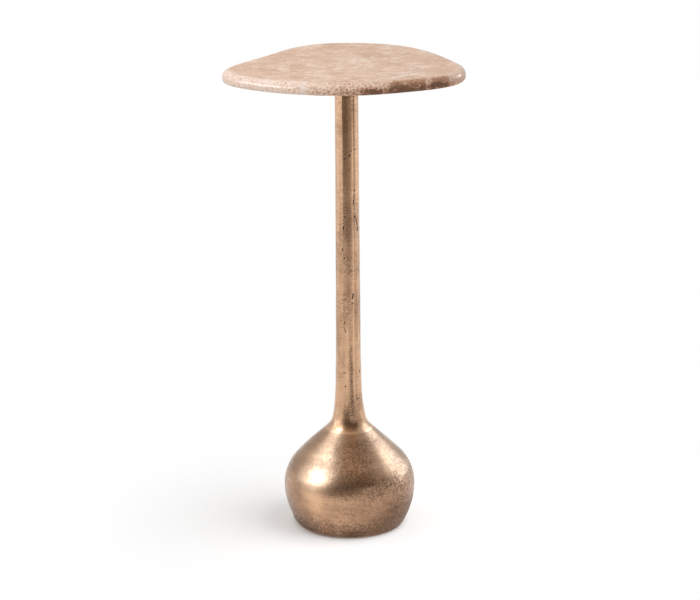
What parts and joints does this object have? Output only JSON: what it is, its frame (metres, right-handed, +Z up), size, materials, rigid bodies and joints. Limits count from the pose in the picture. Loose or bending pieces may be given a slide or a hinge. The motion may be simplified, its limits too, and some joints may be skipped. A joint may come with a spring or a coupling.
{
  "type": "wine table",
  "caption": "Slim drinks table: a pebble-shaped stone top on a tapered cast-metal stem that flares into a weighted, bulb-shaped foot with a felt underside.",
  "frame": {"origin": "on the floor under the middle of the stem, which is the centre of the felt pad's underside", "axes": "+Z up along the stem, -Y towards the front as pictured, +X to the right seen from there"},
  "size_m": [0.3032, 0.2641, 0.61],
  "materials": {
    "honed_stone": "satin",
    "antique_brass": "satin",
    "insert_brass": "satin",
    "black_steel": "matte",
    "zinc_steel": "satin",
    "raw_iron": "matte",
    "black_rubber": "matte",
    "dark_felt": "matte"
  },
  "bodies": {
    "root": {"stone_top": "honed_stone", "stone_inserts": "insert_brass", "flange_gasket": "black_rubber", "top_flange": "black_steel", "top_lock_washers": "zinc_steel", "top_screws": "zinc_steel", "stem": "antique_brass", "bulb": "antique_brass", "ballast": "raw_iron", "tie_rod": "zinc_steel", "rod_washer": "zinc_steel", "rod_lock_washer": "zinc_steel", "rod_nut": "zinc_steel", "base_cover": "black_steel", "cover_screws": "zinc_steel", "felt_pad": "dark_felt"}
  },
  "joints": []
}
